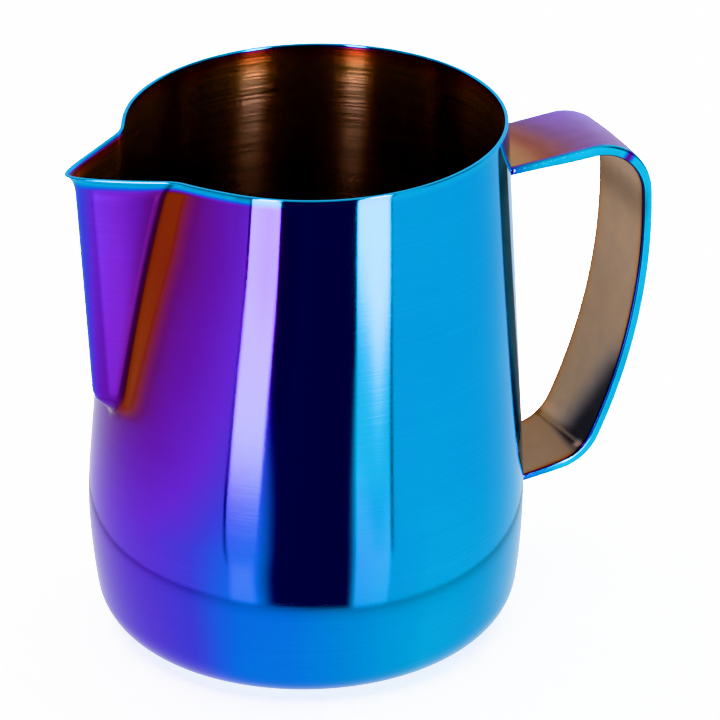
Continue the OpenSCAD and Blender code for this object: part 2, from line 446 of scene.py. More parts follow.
# ---------------------------------------------------------------- pitcher body
# Directions of the mesh columns in degrees from the spout, closest together at the spout's valley
COLUMN_TURNS = np.concatenate([
    np.arange(0, 12, 0.75),
    np.arange(12, 36, 0.3),
    np.arange(36, 45, 0.75),
    np.arange(45, 180.01, 2.25),
])
turns = np.radians(COLUMN_TURNS)
directions = np.concatenate([-turns[:0:-1], turns[:-1]])
column_count = len(directions)

# The mesh column that follows the valley beside the spout, and the first one that stays upright
VALLEY_COLUMN = math.radians(23)
UPRIGHT_COLUMN = math.radians(60)
LEAST_SQUEEZE = 0.5
MOST_SQUEEZE = 1.4

# Steps of the mesh
WALL_STEP = 1.2
LIP_STEP = 0.3
TOP_GAP = 0.45
CORNER_STATIONS = 15
RIM_STATIONS = 5
FLOOR_SHARES = (0.12, 0.25, 0.4, 0.55, 0.7, 0.85)

# Coat thickness against the angle from the spout in degrees, at four heights in mm
FILM_TABLES = [
    (10, [(0, .57), (20, .59), (35, .63), (42, .70), (48, .78), (62, .80), (75, .86), (87, .92), (99, .95),
          (120, .94), (140, .95), (180, .95)]),
    (34, [(0, .52), (20, .55), (33, .61), (42, .68), (48, .72), (62, .77), (75, .87), (87, .92), (99, .94),
          (120, .94), (140, .96), (180, .95)]),
    (52, [(0, .40), (20, .44), (33, .51), (42, .57), (48, .62), (56, .67), (66, .78), (77, .92), (79, .96),
          (87, .96), (90, .93), (120, .93), (140, .95), (180, .94)]),
    (93, [(0, .25), (10, .26), (20, .29), (30, .35), (37, .41), (42, .46), (48, .53), (51, .47), (54, .44),
          (58, .54), (61, .63), (66, .78), (77, .92), (79, .97), (87, .97), (90, .93), (120, .92), (140, .94),
          (180, .93)]),
]
# Coat thickness across the spout's flank: 0 on the nose, 1 at the valley
FLANK_FILM = [(0, .70), (.12, .61), (.28, .48), (.45, .44), (.7, .42), (.85, .35), (1.0, .26)]
LEAST_CREASE = 0.5

# The coat is thinner beside the valley, by this much over this many degrees, and not under VALLEY_FILM
VALLEY_THINNING = 0.24
VALLEY_SPREAD = 8.5
VALLEY_FILM = 0.165
VALLEY_START = TOE_HEIGHT - 8
VALLEY_FADE = 6.0

# On the underside, and on the rim and the edge below it, which is deeper at the spout
BASE_FILM = 0.88
BASE_FILM_TOP = 3.6
BASE_FILM_FADE = 3.0
BASE_MATT = 0.25
BASE_CENTRE_FILM = 0.57
RIM_FILM = 0.95
RIM_BAND = 1.3
LIP_BAND = 0.9
LIP_BAND_SPREAD = 20.0
RIM_BAND_FADE = 1.6

# Painted shade: a dark line along the valley, where the concave crease lies in shade
CREASE_PAINTED_SHADE = 0.8
CREASE_START = TOE_HEIGHT - 6
CREASE_FADE = 8.0
CREASE_OFFSET = 0.5
CREASE_WIDTH = 0.9

# The coat inside against the depth below the rim in mm: it thins out at the rim and is greyer deeper
# down, and painted shade darkens it deeper down
INSIDE_FILM = [(0, .95), (.3, .62), (.5, .30), (.8, .20), (2.5, .12), (6, .06), (14, .03), (30, 0.0)]
INSIDE_PAINTED_SHADE = [(0, 0.8), (2.4, 0.75), (5, 0.6), (12, 0.47), (24, 0.27), (60, 0.15)]
INSIDE_GREY = [(0, 0.0), (3, 0.08), (8, 0.42), (14, 0.55)]


def directions_at(z):
    """Directions of the mesh columns at height z, so that one column runs along the valley."""
    squeeze = np.clip(crease_angle(z) / VALLEY_COLUMN, LEAST_SQUEEZE, MOST_SQUEEZE)
    turn = np.interp(np.abs(directions), [0, VALLEY_COLUMN, UPRIGHT_COLUMN, math.pi],
                     [0, squeeze * VALLEY_COLUMN, UPRIGHT_COLUMN, math.pi])
    return np.where(directions < 0, -turn, turn)


def outside_film(z):
    """Coat thickness round the outside at height z: thin in the valley, thicker towards the handle."""
    turn = np.degrees(np.abs(directions_at(z)))
    heights = [height for height, _ in FILM_TABLES]
    levels = np.array([along(table, turn) for _, table in FILM_TABLES])
    film = np.array([np.interp(z, heights, column) for column in levels.T])
    crease = math.degrees(crease_angle(z))
    past = np.maximum(0, turn - crease)
    thinned = np.maximum(VALLEY_FILM, film - VALLEY_THINNING * hump(past, VALLEY_SPREAD))
    film = film + (thinned - film) * ease((z - VALLEY_START) / VALLEY_FADE)
    if crease > LEAST_CREASE:
        film = np.where(turn < crease, along(FLANK_FILM, turn / crease), film)
    film = film + (BASE_FILM - film) * ease((BASE_FILM_TOP - z) / BASE_FILM_FADE)
    band = RIM_BAND + LIP_BAND * np.exp(-(turn / LIP_BAND_SPREAD) ** 4)
    at_rim = ease(RIM_BAND_FADE - (BODY_HEIGHT - z) / band)
    return film + (RIM_FILM - film) * at_rim


def crease_painted_shade(z):
    """Painted shade across the valley: the coat's brightness along the dark line there."""
    turn = np.degrees(np.abs(directions_at(z)))
    crease = math.degrees(crease_angle(z))
    strength = CREASE_PAINTED_SHADE * float(ease((z - CREASE_START) / CREASE_FADE))
    return 1 - strength * hump(turn - crease + CREASE_OFFSET, CREASE_WIDTH)


def inside_coat(z):
    """Film, matt share, painted shade and grey share of the inner face at height z."""
    depth = BODY_HEIGHT - z
    return along(INSIDE_FILM, depth), 1.0, along(INSIDE_PAINTED_SHADE, depth), along(INSIDE_GREY, depth)


def round_ring(radius):
    turned = directions_at(0.0)
    return -radius * np.cos(turned), radius * np.sin(turned)


def corner_ring(angle, inset):
    """Radius and height on the corner between the base and the wall."""
    bend = BASE_CORNER_RADIUS - inset
    return CORNER_X + bend * math.sin(angle), BASE_CORNER_RADIUS - bend * math.cos(angle)


def wall_ring(z, inset=0.0, drop=0.0):
    turned = directions_at(z)
    return *section_points(turned, z, inset), drawn_height(turned, z) - drop


def rim_profile():
    """Inset and drop of the rings over the rim, which has a rounded edge on both sides."""
    corner = [(EDGE_ROUNDING * (1 - math.cos(a)), EDGE_ROUNDING * (1 - math.sin(a)))
              for a in np.linspace(0, math.pi / 2, RIM_STATIONS)]
    return corner + [(WALL - inset, drop) for inset, drop in reversed(corner)]


def build_body():
    """One skin: out over the base, up the outside, over the rim, down the inside and over the floor."""
    corner_angles = np.linspace(0, CORNER_SWEEP, CORNER_STATIONS)
    lip_start = BODY_HEIGHT - LIP_FLARE_HEIGHT
    wall_heights = np.concatenate([
        np.arange(CORNER_TOP + WALL_STEP, lip_start, WALL_STEP),
        np.arange(lip_start, BODY_HEIGHT - TOP_GAP, LIP_STEP),
    ])
    floor_radii = [share * CORNER_X for share in FLOOR_SHARES]

    rings = Rings()
    for radius in floor_radii:
        rings.add(*round_ring(radius), 0.0, outside_film(0.0), BASE_MATT)
    for angle in corner_angles:
        radius, z = corner_ring(angle, 0.0)
        rings.add(*round_ring(radius), z, outside_film(z))
    for z in wall_heights:
        rings.add(*wall_ring(z), outside_film(z), 0.0, crease_painted_shade(z))
    for inset, drop in rim_profile():
        rings.add(*wall_ring(BODY_HEIGHT, inset, drop), RIM_FILM)
    last_rim_ring = len(rings.points) - 1
    for z in wall_heights[::-1]:
        rings.add(*wall_ring(z, WALL), *inside_coat(z))
    for angle in corner_angles[::-1]:
        radius, z = corner_ring(angle, WALL)
        rings.add(*round_ring(radius), z, *inside_coat(z))
    for radius in floor_radii[::-1]:
        rings.add(*round_ring(radius), WALL, *inside_coat(0.0))
    ring_count = len(rings.points)
    rings.add(np.zeros(1), np.zeros(1), 0.0, BASE_CENTRE_FILM, BASE_MATT)
    rings.add(np.zeros(1), np.zeros(1), WALL, *inside_coat(0.0))

    sides = turned_over(strip_faces(ring_count, column_count))
    base_centre = ring_count * column_count
    last_ring = base_centre - column_count
    steps = [(i, (i + 1) % column_count) for i in range(column_count)]
    base_fan = [(base_centre, i, j) for i, j in steps]
    floor_fan = [(base_centre + 1, last_ring + j, last_ring + i) for i, j in steps]
    slots = [int(face[0] >= last_rim_ring * column_count) for face in sides]
    slots += [0] * column_count + [1] * column_count
    return rings.make_piece("coated_body", sides + base_fan + floor_fan, [polished, brushed], slots)


body = build_body()

# ---------------------------------------------------------------- shape of the handle strip
LEG_STEP = 1.6
BEND_STEP = math.radians(2.5)
GRIP_STEP = math.radians(0.8)
EDGE_STATIONS = 8
FLAT_STATIONS = 19
HALF_FLAT = STRIP_WIDTH / 2 - EDGE_RADIUS


def heading(a):
    return np.array([math.cos(a), -math.sin(a)])


def line_path(start, a, length, step):
    steps = max(1, math.ceil(length / step))
    return [(*(np.array(start[:2]) + heading(a) * length * i / steps), a) for i in range(1, steps + 1)]


def arc_path(start, begin, end, radius, step):
    steps = math.ceil((end - begin) / step)
    angles = [begin + (end - begin) * i / steps for i in range(1, steps + 1)]
    return [(start[0] + radius * (math.sin(a) - math.sin(begin)),
             start[1] + radius * (math.cos(a) - math.cos(begin)), a) for a in angles]


def strip_path():
    """Outer face of the strip as (x, z, heading): top leg, upper bend, grip, lower bend, bottom leg."""
    start_x = float(wall_radius(TOP_LEG_HEIGHT))
    top_length = (TOP_LEG_REACH - start_x) / math.cos(TOP_LEG_SLOPE)
    places = [(start_x, TOP_LEG_HEIGHT, -TOP_LEG_SLOPE)]
    places += line_path(places[-1], -TOP_LEG_SLOPE, top_length, LEG_STEP)
    places += arc_path(places[-1], -TOP_LEG_SLOPE, GRIP_START, UPPER_BEND_RADIUS, BEND_STEP)
    places += arc_path(places[-1], GRIP_START, GRIP_END, GRIP_RADIUS, GRIP_STEP)
    places += arc_path(places[-1], GRIP_END, BOTTOM_LEG, LOWER_BEND_RADIUS, BEND_STEP)
    bottom_x, bottom_z, _ = places[-1]
    bottom_length = (bottom_x - float(wall_radius(bottom_z))) / -math.cos(BOTTOM_LEG)
    places += line_path(places[-1], BOTTOM_LEG, bottom_length, LEG_STEP)
    return np.array(places)


path = strip_path()
lengths = np.concatenate([[0], np.cumsum(np.hypot(*np.diff(path[:, :2], axis=0).T))])
strip_length = lengths[-1]


def length_at(a):
    """Distance along the strip at which it has the heading a."""
    return float(np.interp(a, path[:, 2], lengths))


def edge_depth(y):
    edge = clamp((np.abs(y) - HALF_FLAT) / EDGE_RADIUS)
    return EDGE_RADIUS * (1 - np.sqrt(1 - edge * edge))


def crown_depth(y):
    return CROWN * (2 * y / STRIP_WIDTH) ** 2


def outer_depth(y):
    return crown_depth(y) + edge_depth(y)


def inner_depth(y, thickness):
    return crown_depth(y) + thickness - edge_depth(y)


def thickness_at(s):
    """Thickness at distance s along the strip: it tapers to the welded ends."""
    grown = ease(s / END_FADE) * ease((strip_length - s) / END_FADE)
    return END_THICKNESS + (STRIP_THICKNESS - END_THICKNESS) * grown


def on_body(y, z):
    """The place on the round body wall at height z and y across."""
    return circle_shift(z) + np.sqrt((wall_radius(z) - circle_shift(z)) ** 2 - y * y)


def section_widths():
    """Places across the strip, close together on its rounded edges."""
    edge_angles = np.linspace(0, math.pi / 2, EDGE_STATIONS)
    edge = -HALF_FLAT - EDGE_RADIUS * np.cos(edge_angles)
    half = np.concatenate([edge, np.linspace(-HALF_FLAT, 0, FLAT_STATIONS)[1:]])
    return np.concatenate([half, -half[-2::-1]])


# The strip's ring: y across, whether on the outer face, and how far into the rounded edge, 0 to 1
widths = section_widths()
across = np.concatenate([widths, widths[::-1]])
is_outer = np.arange(len(across)) < len(widths)
rounding = (np.abs(across) - HALF_FLAT) / EDGE_RADIUS

# ---------------------------------------------------------------- coat of the handle strip
# Coat thickness, painted light and shade (darker by the body, lighter near the upper bend) and grey share
# of the outer face, against the distance from the body in mm
FACE_FILM = [(0, .05), (4, .08), (8, .16), (12, .26), (16, .34), (20, .41), (26, .50), (34, .68),
             (60, .66), (100, .72), (125, .78), (160, .70)]
FACE_PAINTED_SHADING = [(0, 0.85), (8, 1.0), (14, 1.12), (28, 1.08), (34, 1.05), (160, 1.0)]
FACE_GREY = [(0, .14), (14, .22), (20, .36), (28, .58), (36, .66), (60, .4), (160, .3)]
INNER_GREY = 0.12

# The coat on the outer face is thicker on the far side, fully so from FAR_SIDE_START along the strip.
# The share of this is FAR_SIDE_MIDDLE on the strip's middle and FAR_SIDE_GROWTH more at its far edge
FAR_SIDE_FILM = 0.12
FAR_SIDE_MIDDLE = 0.3
FAR_SIDE_GROWTH = 0.7
FAR_SIDE_START = 10.0

# Coat thickness of the polished edge against the distance from the upper weld and from the lower weld,
# and the painted light and shade along the strip, which mostly dims its highlights
SIDE_FILM_TOP = [(0, .45), (0.8, .62), (1.8, .84), (4, .97), (8, 1.0)]
SIDE_FILM_BOTTOM = [(0, .74), (3, .84), (8, 1.0)]
SIDE_PAINTED_SHADING = [(0, .9), (32, .95), (90, .9), (100, 1.05)]
SIDE_ROUNDING = 0.5

# Share of the edge's coat, matt share and painted shade across a rounded edge: 0 where the rounding
# starts, 1 at the side. The painted shade is a dark line where the outer edge starts to round, and a dark
# band on the inner edge that dims its highlight
OUTER_EDGE_FILM = [(-0.76, 0.0), (0.0, 0.75), (0.25, 0.95), (0.5, 1.0)]
OUTER_EDGE_MATT = [(-0.76, 1.0), (0.0, 0.0)]
OUTER_EDGE_PAINTED_SHADE = [(-0.76, 1.0), (0.0, 0.7), (0.25, 0.85), (0.5, 1.0)]
INNER_EDGE_FILM = [(-2.6, .015), (-0.8, .07), (0.4, .13), (0.6, .25), (0.7, .55), (0.8, .85), (0.9, 1.0)]
INNER_EDGE_MATT = [(0.2, 1.0), (0.6, 0.0)]
INNER_EDGE_PAINTED_SHADE = [(0.4, 1.0), (0.6, 0.4), (0.78, 0.4), (0.9, 1.0)]
FACE_END = 0.9
FACE_FADE = 0.3

# A spot on the edge of the upper bend where the coat has rubbed thin
WORN_ANGLE = math.radians(38)
WORN_FILM = 0.24
WORN_WIDTH = 0.8

# The fold inside the lower bend: a low ridge, with a painted gold highlight line above it, a painted
# dark shade line below it and a painted gold glint at its near end
FOLD_ANGLE = math.radians(142)
FOLD_SLANT = 0.5
FOLD_HALF_WIDTH = 9.4
FOLD_HEIGHT = 0.25
FOLD_RIDGE_WIDTH = 0.7
FOLD_SPREAD = 0.45
FOLD_LINE_WIDTH = 0.4
FOLD_FILM = 0.07
DARK_LINE = 0.45
GOLD_LINE = 0.6
GOLD_LINE_PAINTED_LIGHT = 0.85
SPOT_Y = -8.2
SPOT_RADIUS = 0.9
SPOT_PAINTED_LIGHT = 1.15

# A painted dark reflection, tapering, on the inner face above the fold, widest at the fold and on the near
# side
DARK_REFLECTION_LENGTH = 28.0
DARK_REFLECTION_STRENGTH = 0.9
DARK_REFLECTION_GREY = 0.9
DARK_REFLECTION_TAIL = 4.0
DARK_REFLECTION_PAST_MIDDLE = 1.0
DARK_REFLECTION_OFFSET = 5.0
DARK_REFLECTION_SOFTNESS = 10.0
DARK_REFLECTION_TIP = 1 / 3

# Painted shade on the inner face of the bottom leg, and a painted shadow below the upper bend
LEG_PAINTED_SHADE = 0.62
LEG_START = 3.0
LEG_FADE = 4.0
SHADE_STRENGTH = 0.4
SHADE_OFFSET = 3.0
SHADE_WIDTH = 4.0

# The strip's ends are slid along the legs to the round wall, over this length, and sink into it
SLIDE_LENGTH = 7.0
SLIDE_HEIGHT = 0.8
SINK = 0.15

fold = length_at(FOLD_ANGLE) + FOLD_SLANT * across / HALF_FLAT
worn_place = length_at(WORN_ANGLE)
bend_end = length_at(GRIP_START)
on_face = ease((FACE_END - rounding) / FACE_FADE)
on_side = ease(rounding / SIDE_ROUNDING)
start_slide = on_body(across, TOP_LEG_HEIGHT - SLIDE_HEIGHT) - float(path[0][0])
end_slide = on_body(across, path[-1][1] + SLIDE_HEIGHT) - float(path[-1][0])


def strip_ring(index):
    """Points of the strip's ring at one place of the path."""
    px, pz, a = path[index]
    s = lengths[index]
    depth = np.concatenate([outer_depth(widths), inner_depth(widths[::-1], thickness_at(s))])
    ridge = hump(s - fold, FOLD_RIDGE_WIDTH) * ease(FOLD_HALF_WIDTH - np.abs(across)) * ~is_outer
    depth = depth - FOLD_HEIGHT * ridge
    x = px - depth * math.sin(a)
    z = pz - depth * math.cos(a)
    if index in (0, len(path) - 1):
        return on_body(across, z) - SINK, across, z
    x = x + start_slide * ease(1 - s / SLIDE_LENGTH)
    x = x + end_slide * ease(1 - (strip_length - s) / SLIDE_LENGTH)
    return x, across, z


def outer_coat(s, side_film):
    """Film, matt share, painted light and shade, and grey share of the outer face at distance s."""
    far_side = clamp(FAR_SIDE_MIDDLE + FAR_SIDE_GROWTH * across / HALF_FLAT)
    face_film = along(FACE_FILM, s) + FAR_SIDE_FILM * far_side * clamp(s / FAR_SIDE_START)
    film = face_film + (side_film - face_film) * along(OUTER_EDGE_FILM, rounding)
    painted_shading = along(OUTER_EDGE_PAINTED_SHADE, rounding) * along(FACE_PAINTED_SHADING, s)
    return film, along(OUTER_EDGE_MATT, rounding), painted_shading, along(FACE_GREY, s)


def dark_reflection_at(s):
    """Strength of the painted dark reflection on the inner face at distance s."""
    above = (fold - s) / DARK_REFLECTION_LENGTH
    tail = ease(1 - (s - fold) / DARK_REFLECTION_TAIL)
    edge = -HALF_FLAT + (HALF_FLAT + DARK_REFLECTION_PAST_MIDDLE) * clamp(1 - above) * tail
    sideways = ease((edge + DARK_REFLECTION_OFFSET - across) / DARK_REFLECTION_SOFTNESS)
    return sideways * ease((1 - above) / DARK_REFLECTION_TIP) * tail * on_face


def inner_coat(s, side_film):
    """Film, matt share, painted light and shade, and grey share of the inner face at distance s."""
    dark_reflection = dark_reflection_at(s)
    shade = SHADE_STRENGTH * hump(s - bend_end - SHADE_OFFSET, SHADE_WIDTH)
    leg = (1 - LEG_PAINTED_SHADE) * ease((s - fold + LEG_START) / LEG_FADE) * on_face
    dark_line = DARK_LINE * hump(s - fold - FOLD_SPREAD, FOLD_LINE_WIDTH) * on_face
    gold_line = GOLD_LINE * hump(s - fold + FOLD_SPREAD, FOLD_LINE_WIDTH) * on_face
    spot = hump(np.hypot(s - fold, across - SPOT_Y), SPOT_RADIUS)
    gold = np.maximum(gold_line, spot)

    film = side_film * along(INNER_EDGE_FILM, rounding) + FOLD_FILM * gold
    painted_shading = (1 - DARK_REFLECTION_STRENGTH * dark_reflection) * (1 - shade) * (1 - leg) * (1 - dark_line)
    painted_shading = painted_shading + (GOLD_LINE_PAINTED_LIGHT - painted_shading) * gold_line
    painted_shading = (painted_shading + (SPOT_PAINTED_LIGHT - painted_shading) * spot) * along(INNER_EDGE_PAINTED_SHADE, rounding)
    grey = INNER_GREY + (DARK_REFLECTION_GREY - INNER_GREY) * dark_reflection * (1 - gold)
    return film, along(INNER_EDGE_MATT, rounding), painted_shading, grey


def strip_coat(s):
    """Film, matt share, painted light and shade, and grey share of the strip's ring at distance s."""
    side_film = min(along(SIDE_FILM_TOP, s), along(SIDE_FILM_BOTTOM, strip_length - s))
    film, matt, painted_shading, grey = (
        np.where(is_outer, outer, inner)
        for outer, inner in zip(outer_coat(s, side_film), inner_coat(s, side_film)))
    worn = hump(s - worn_place, WORN_WIDTH) * clamp(rounding)
    film = film + (WORN_FILM - film) * worn
    painted_shading = painted_shading * (1 + (along(SIDE_PAINTED_SHADING, s) - 1) * on_side)
    return film, matt, painted_shading, grey * (1 - on_side)


def end_cap(first):
    """Quads that close the strip's ring whose first point has this index."""
    last = first + len(across) - 1
    return [(first + i, first + i + 1, last - i - 1, last - i) for i in range(len(widths) - 1)]


def build_handle():
    rings = Rings()
    for index, s in enumerate(lengths):
        rings.add(*strip_ring(index), *strip_coat(s))
    sides = turned_over(strip_faces(len(path), len(across)))
    last_ring = (len(path) - 1) * len(across)
    caps = end_cap(0) + turned_over(end_cap(last_ring))
    return rings.make_piece("coated_handle", sides + caps, [satin])


handle = build_handle()

# ---------------------------------------------------------------- weld fillets
WELD_STATIONS = 91
WELD_PROFILE = 7
WELD_BULGE = 0.22
RIPPLE_HEIGHT = 0.10
RIPPLE_STEP = 0.9
# Film, matt share, brightness and grey share of the beads
WELD_COAT = (0.45, 0.6, 0.8, 0.1)


def weld_section(end, y, depth, out, ripple):
    """Corner of the fillet, then its curved face from the wall to the strip, at y across."""
    corner_z = end[1] - depth * math.cos(end[2])
    foot_z = corner_z - WELD_LEG
    corner = np.array([on_body(y, corner_z), y, corner_z])
    foot = np.array([on_body(y, foot_z), y, foot_z])
    toe = corner + WELD_LEG * np.array([out[0], 0, out[1]])
    chord = (foot + toe) / 2
    middle = chord + WELD_BULGE * (corner - chord)
    middle = corner + (middle - corner) * ripple
    arc = [(1 - t) ** 2 * foot + 2 * t * (1 - t) * middle + t * t * toe
           for t in np.linspace(0, 1, WELD_PROFILE)]
    return np.stack([corner] + arc)


def weld_fillet(name, end, depth_at, out):
    """A rippled fillet across the underside of one end of the strip."""
    half_width = STRIP_WIDTH / 2 - WELD_INSET
    rings = Rings()
    for i in range(WELD_STATIONS):
        y = half_width * (2 * i / (WELD_STATIONS - 1) - 1)
        ripple = 1 + RIPPLE_HEIGHT * math.cos(i * RIPPLE_STEP)
        rings.add(*weld_section(end, y, float(depth_at(y)), out, ripple).T, *WELD_COAT)
    n = WELD_PROFILE + 1
    last_ring = (WELD_STATIONS - 1) * n
    faces = strip_faces(WELD_STATIONS, n)
    faces += [(0, i + 1, i) for i in range(1, n - 1)]
    faces += [(last_ring, last_ring + i, last_ring + i + 1) for i in range(1, n - 1)]
    return rings.make_piece(name, turned_over(faces), [satin])


def upper_underside(y):
    return inner_depth(y, END_THICKNESS)


upper_weld = weld_fillet("upper_weld_bead", path[0], upper_underside, heading(-TOP_LEG_SLOPE))
lower_weld = weld_fillet("lower_weld_bead", path[-1], outer_depth, -heading(BOTTOM_LEG))

# ---------------------------------------------------------------- pieces on the frame
for piece, node, slot in (
        (body, "pitcher_body", "body_steel"),
        (handle, "handle", "handle_steel"),
        (upper_weld, "upper_weld", "weld_steel"),
        (lower_weld, "lower_weld", "weld_steel")):
    # The finer mesh stays in the box of the CAD node that it replaces
    corners = np.array(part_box(node))
    places = np.empty(3 * len(piece.data.vertices))
    piece.data.vertices.foreach_get("co", places)
    piece.data.vertices.foreach_set("co", np.clip(places.reshape(-1, 3), *corners).ravel())
    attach(piece, "root")
    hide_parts(node)

# ---------------------------------------------------------------- camera
# Sizes in mm. CAMERA_RIGHT and CAMERA_UP shift the camera sideways without turning it
CAMERA_AZIMUTH = math.radians(24.3)
CAMERA_ELEVATION = math.radians(26.355)
CAMERA_ROLL = math.radians(-0.584)
CAMERA_DISTANCE = 1252.2
CAMERA_TARGET = np.array([0, 0, 58.44])
CAMERA_RIGHT = 11.367
CAMERA_UP = -1.694
CAMERA_LENS = 308.9
SENSOR_WIDTH = 36
# The range of distances that the camera sees, in metres
NEAREST_SEEN = 0.05
FARTHEST_SEEN = 20

sin_azimuth, cos_azimuth = math.sin(CAMERA_AZIMUTH), math.cos(CAMERA_AZIMUTH)
sin_elevation, cos_elevation = math.sin(CAMERA_ELEVATION), math.cos(CAMERA_ELEVATION)
sin_roll, cos_roll = math.sin(CAMERA_ROLL), math.cos(CAMERA_ROLL)


def add_camera():
    right = np.array([cos_azimuth, -sin_azimuth, 0])
    forward = np.array([sin_azimuth * cos_elevation, cos_azimuth * cos_elevation, -sin_elevation])
    upward = np.array([sin_azimuth * sin_elevation, cos_azimuth * sin_elevation, cos_elevation])
    place = CAMERA_TARGET - CAMERA_DISTANCE * forward + CAMERA_RIGHT * right + CAMERA_UP * upward
    pose = np.eye(4)
    pose[:3, 0] = cos_roll * right + sin_roll * upward
    pose[:3, 1] = cos_roll * upward - sin_roll * right
    pose[:3, 2] = -forward
    pose[:3, 3] = place * MM
    camera = bpy.data.objects.new("camera", bpy.data.cameras.new("camera"))
    camera.data.sensor_width = SENSOR_WIDTH
    camera.data.lens = CAMERA_LENS
    camera.data.clip_start = NEAREST_SEEN
    camera.data.clip_end = FARTHEST_SEEN
    camera.matrix_world = Matrix(pose.tolist())
    bpy.context.scene.collection.objects.link(camera)
    bpy.context.scene.camera = camera


add_camera()

# ---------------------------------------------------------------- cards that only the metal sees
# Azimuths are in degrees right of the camera, heights and radii in metres
CARD_RADIUS = 0.6

# Edges of the two softboxes against height: (height, left, right)
LEFT_EDGES = [(-0.5, -42, -25.5), (-0.215, -38, -26.5), (-0.138, -41, -24.5), (-0.111, -39, -23),
              (-0.042, -34.5, -18.5), (0.05, -34, -18.5), (0.12, -31, -21), (0.75, -31, -21)]
RIGHT_EDGES = [(0.05, 24.5, 42.5), (0.12, 32, 43)]

# Softness of their edges in degrees. The left one's edges get softer below LEFT_BLUR_TOP
LEFT_SOFTNESS = 0.5
LEFT_BLUR = 4.5
LEFT_BLUR_TOP = -0.13
LEFT_BLUR_FADE = 0.07
RIGHT_SOFTNESS = 0.4

# Brightness of the room and of the softboxes against height, and how far the right one is raised
AMBIENT_LEVELS = [(-0.03, 0.9), (0.05, 0.5), (0.12, 0.08)]
SOFTBOX_LEVELS = [(-0.5, 1.0), (-0.235, 1.5), (-0.205, 1.5), (-0.185, 1.05), (-0.15, 1.1), (-0.138, 1.5),
                  (-0.124, 3.0), (-0.108, 9), (0.05, 9), (0.12, 36), (0.75, 36)]
RIGHT_FOOT = [(24.5, 0.060), (30, 0.042), (35, 0.018), (38, 0.018), (42.5, 0.036)]

# The dark gap between the softboxes, whose edges get softer below GAP_BLUR_TOP. Its right edge is the
# sharper one, and the last two values set how far each edge has darkened where its softbox ends
DARK_LEVEL = 0.048
GAP_SOFTNESS = 0.5
GAP_BLUR = 12
GAP_BLUR_TOP = -0.06
GAP_BLUR_FADE = 0.09
GAP_RIGHT_SHARE = 0.5
GAP_LEFT_START = 0.1
GAP_RIGHT_START = 0.3

# The softboxes' dark frames, and the pale wall to the right of them
FRAME_LEVEL = 0.05
FRAME_WIDTH = 1.4
FRAME_SOFTNESS = 0.5
FRAME_FOOT = -0.205
FRAME_FADE = 0.02
SIDE_LEVEL = 0.9
SIDE_START = 46.0

FRONT_AZIMUTHS = np.arange(-44, 64.01, 0.2)
FRONT_HEIGHTS = np.concatenate([
    np.arange(-0.5, -0.2, 0.02),
    np.arange(-0.2, 0.06, 0.005),
    np.arange(0.06, 0.76, 0.05),
])
BACK_AZIMUTHS = np.arange(90, 270.01, 5)
BACK_HEIGHTS = np.linspace(0.0, 1.0, 23)
# The bright part behind the object: from, to and softness, in degrees and in metres. Around it the
# card has the brightness BACK_MARGIN against height
BACK_EDGES = (108, 252, 25)
BACK_RISE = (0.0, 0.85, 0.12)
BACK_MARGIN = [(0.0, 0.45), (0.06, 0.15), (0.30, 0.15), (0.80, 0.45)]

# The table top near the pitcher, whose darker rim shows as a soft line low on the body
STAND_SHIFT = 0.004
STAND_DROP = 0.0002
STAND_STEP = 3
STAND_LEVELS = [(0.0002, 0.85), (0.040, 0.85), (0.070, 0.85), (0.074, 0.80), (0.077, 0.68), (0.079, 0.52),
                (0.080, 0.48), (0.0805, 0.60)]


def between(x, low, high, soft):
    """1 between low and high, 0 outside, with soft edges."""
    return ease((x - low) / soft + 0.5) * ease((high - x) / soft + 0.5)


def edges_at(edges, height):
    """Left and right edge of a softbox at each height."""
    return [along([(row[0], row[side]) for row in edges], height) for side in (1, 2)]


def front_level(azimuth, height):
    """Brightness of the studio in front of the object."""
    left, gap_start = edges_at(LEFT_EDGES, height)
    gap_end, right = edges_at(RIGHT_EDGES, height)
    level = along(AMBIENT_LEVELS, height)
    level = np.where(azimuth > SIDE_START, np.maximum(level, SIDE_LEVEL), level)

    gap_soft = GAP_SOFTNESS + GAP_BLUR * ease((GAP_BLUR_TOP - height) / GAP_BLUR_FADE)
    from_left = ease((azimuth - gap_start) / gap_soft + GAP_LEFT_START)
    from_right = ease((gap_end - azimuth) / (GAP_RIGHT_SHARE * gap_soft) + GAP_RIGHT_START)
    level = level + (DARK_LEVEL - level) * from_left * from_right

    for low in (left - FRAME_WIDTH, right):
        frame_share = between(azimuth, low, low + FRAME_WIDTH, FRAME_SOFTNESS)
        frame_share = frame_share * ease((height - FRAME_FOOT) / FRAME_FADE)
        level = level + (FRAME_LEVEL - level) * frame_share

    left_soft = LEFT_SOFTNESS + LEFT_BLUR * ease((LEFT_BLUR_TOP - height) / LEFT_BLUR_FADE)
    left_share = between(azimuth, left, gap_start, left_soft)
    level = level + (along(SOFTBOX_LEVELS, height) - level) * left_share
    right_share = between(azimuth, gap_end, right, RIGHT_SOFTNESS)
    right_level = along(SOFTBOX_LEVELS, height - along(RIGHT_FOOT, azimuth))
    return level + (right_level - level) * right_share


def back_level(azimuth, height):
    """Brightness of the studio behind the object, which the handle and the rim reflect."""
    window = between(azimuth, *BACK_EDGES) * between(height, *BACK_RISE)
    return np.maximum(along(BACK_MARGIN, height), window)


# A weak card is bluer: its colour against its brightness between the two levels
TINT_RANGE = (0.05, 0.4)
TINTS = [(0, (0.30, 0.10, 1.0)), (0.4, (0.55, 0.5, 1.0)), (1, (1, 1, 1))]


